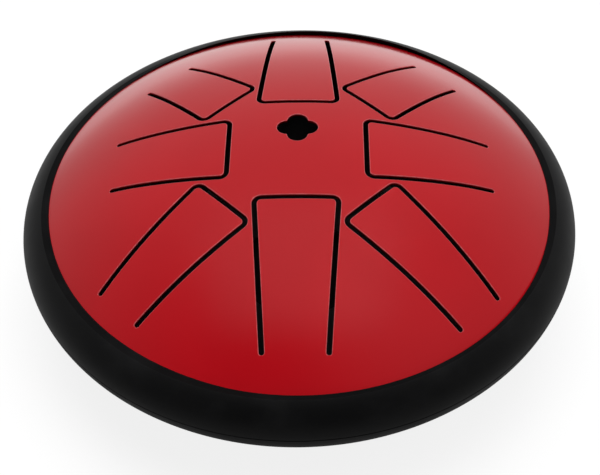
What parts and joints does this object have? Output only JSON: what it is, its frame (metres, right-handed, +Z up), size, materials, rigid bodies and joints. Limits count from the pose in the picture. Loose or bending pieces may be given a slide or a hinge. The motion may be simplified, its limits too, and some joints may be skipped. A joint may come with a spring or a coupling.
{
  "type": "steel tongue drum",
  "caption": "Double-domed steel drum with sprung tongues cut into its painted top, a rubber band round the joint and rubber feet below.",
  "frame": {"origin": "on the table, under the middle of the drum", "axes": "+Z up, the front tongue points along -Y, +X to the right of a player who sits at the front"},
  "size_m": [0.254, 0.254, 0.0905],
  "materials": {
    "red_paint": "gloss, cherry red",
    "black_paint": "satin black",
    "bare_steel": "as welded",
    "black_rubber": "satin",
    "foot_rubber": "matte",
    "zinc_steel": "zinc plated"
  },
  "bodies": {
    "drum_body": {"top_shell": "red_paint", "bottom_shell": "black_paint", "weld_bead": "bare_steel", "edge_band": "black_rubber", "foot_front_right": "foot_rubber", "foot_back_right": "foot_rubber", "foot_back_left": "foot_rubber", "foot_front_left": "foot_rubber", "foot_screws": "zinc_steel", "foot_washers": "zinc_steel", "foot_nuts": "zinc_steel"},
    "tongue_front": {"tongue_front": "red_paint"},
    "tongue_front_right": {"tongue_front_right": "red_paint"},
    "tongue_right": {"tongue_right": "red_paint"},
    "tongue_back_right": {"tongue_back_right": "red_paint"},
    "tongue_back": {"tongue_back": "red_paint"},
    "tongue_back_left": {"tongue_back_left": "red_paint"},
    "tongue_left": {"tongue_left": "red_paint"},
    "tongue_front_left": {"tongue_front_left": "red_paint"}
  },
  "joints": [
    {"name": "front_flex", "type": "hinge", "parent": "drum_body", "child": "tongue_front", "pos_m": [0, -0.09891, 0.0688], "axis": [-1, 0, 0], "range_deg": [-0.8, 0.8], "stiffness_Nm_per_rad": 69.2},
    {"name": "front_right_flex", "type": "hinge", "parent": "drum_body", "child": "tongue_front_right", "pos_m": [0.07559, -0.07559, 0.06442], "axis": [-0.7071, -0.7071, 0], "range_deg": [-0.8, 0.8], "stiffness_Nm_per_rad": 65.5},
    {"name": "right_flex", "type": "hinge", "parent": "drum_body", "child": "tongue_right", "pos_m": [0.0857, 0, 0.07481], "axis": [0, -1, 0], "range_deg": [-0.8, 0.8], "stiffness_Nm_per_rad": 89.4},
    {"name": "back_right_flex", "type": "hinge", "parent": "drum_body", "child": "tongue_back_right", "pos_m": [0.06513, 0.06513, 0.07208], "axis": [0.7071, -0.7071, 0], "range_deg": [-0.8, 0.8], "stiffness_Nm_per_rad": 90.7},
    {"name": "back_flex", "type": "hinge", "parent": "drum_body", "child": "tongue_back", "pos_m": [0, 0.0993, 0.0686], "axis": [1, 0, 0], "range_deg": [-0.8, 0.8], "stiffness_Nm_per_rad": 68.7},
    {"name": "back_left_flex", "type": "hinge", "parent": "drum_body", "child": "tongue_back_left", "pos_m": [-0.06245, 0.06245, 0.07374], "axis": [0.7071, 0.7071, 0], "range_deg": [-0.8, 0.8], "stiffness_Nm_per_rad": 99.9},
    {"name": "left_flex", "type": "hinge", "parent": "drum_body", "child": "tongue_left", "pos_m": [-0.0819, 0, 0.07628], "axis": [0, 1, 0], "range_deg": [-0.8, 0.8], "stiffness_Nm_per_rad": 97.2},
    {"name": "front_left_flex", "type": "hinge", "parent": "drum_body", "child": "tongue_front_left", "pos_m": [-0.07383, -0.07383, 0.06585], "axis": [-0.7071, 0.7071, 0], "range_deg": [-0.8, 0.8], "stiffness_Nm_per_rad": 68.9}
  ]
}
